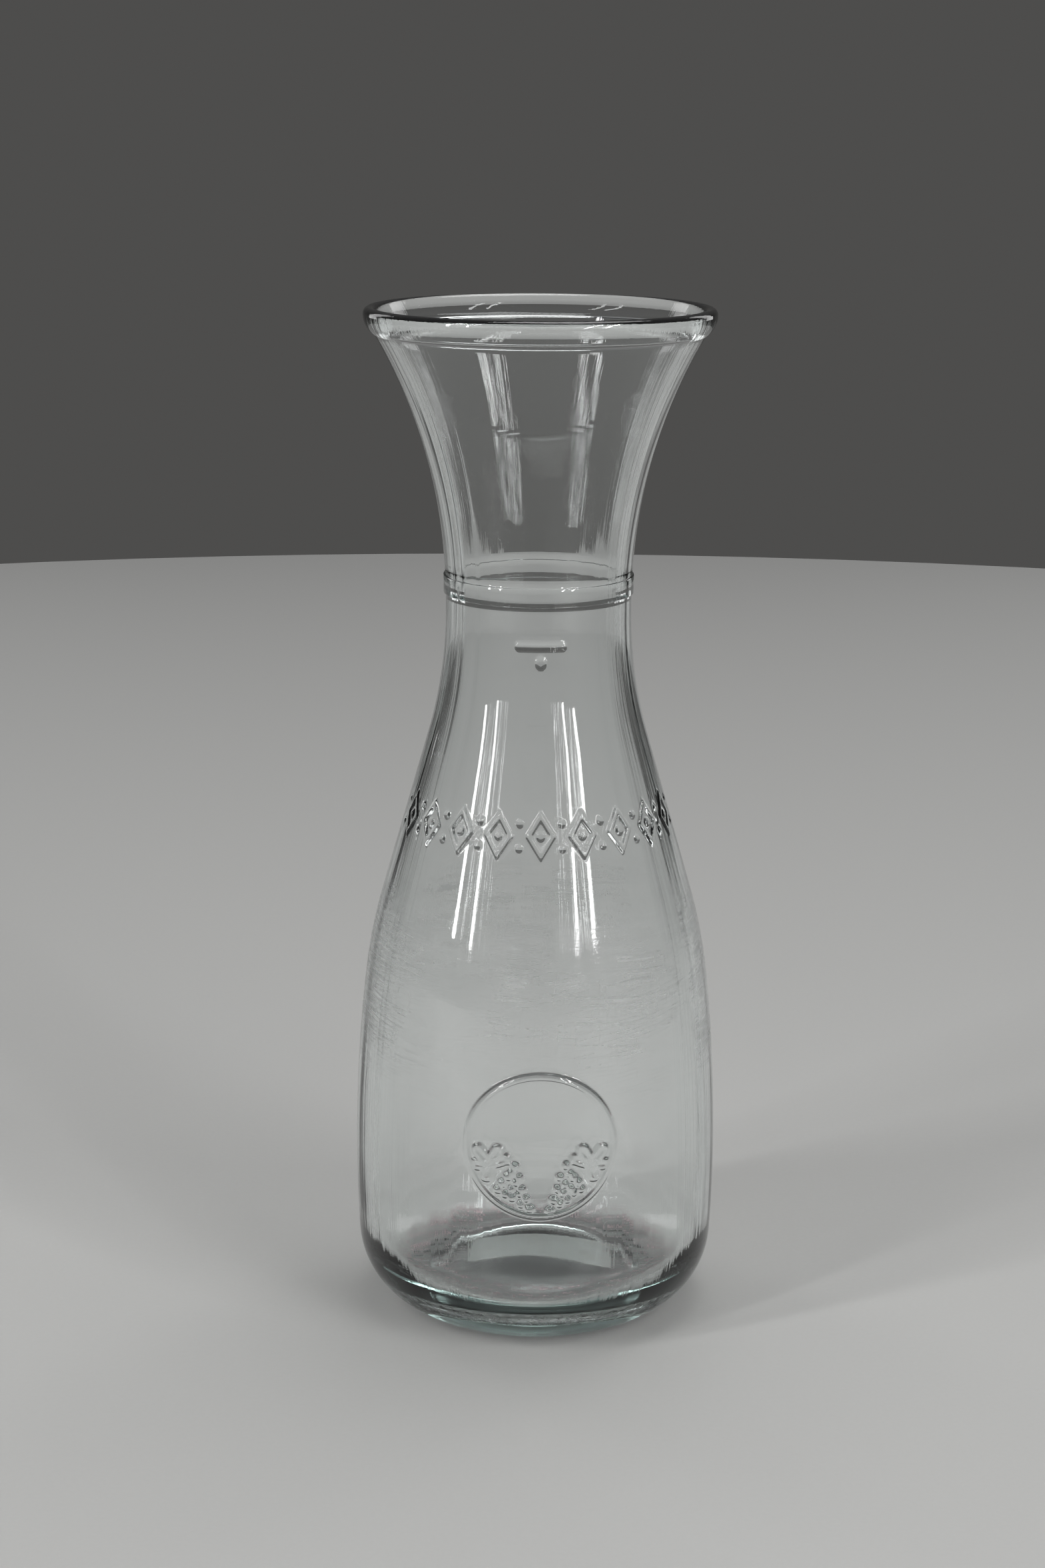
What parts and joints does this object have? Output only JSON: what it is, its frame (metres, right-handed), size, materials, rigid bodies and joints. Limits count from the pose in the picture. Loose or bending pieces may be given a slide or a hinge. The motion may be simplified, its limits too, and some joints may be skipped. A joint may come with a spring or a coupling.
{
  "type": "glass carafe",
  "caption": "Clear glass carafe with a rounded belly, sloping shoulders, a waisted neck with a level band, a flared pouring mouth, a round relief medallion and a paper strip under its base.",
  "frame": {"origin": "centre of the bearing ring, on the surface that the carafe stands on", "axes": "+Z is the upright axis of the turned glass, out of the mouth; -Y is the front, the side with the medallion; +X is to the right as seen from the front"},
  "size_m": [0.083, 0.0838, 0.2289],
  "materials": {
    "clear_glass": "smooth pressed soda-lime glass, faintly green in thick places, scuffed round the belly",
    "label_paper": null
  },
  "bodies": {
    "root": {"glass_carafe": "clear_glass", "paper_label": "label_paper"}
  },
  "joints": []
}
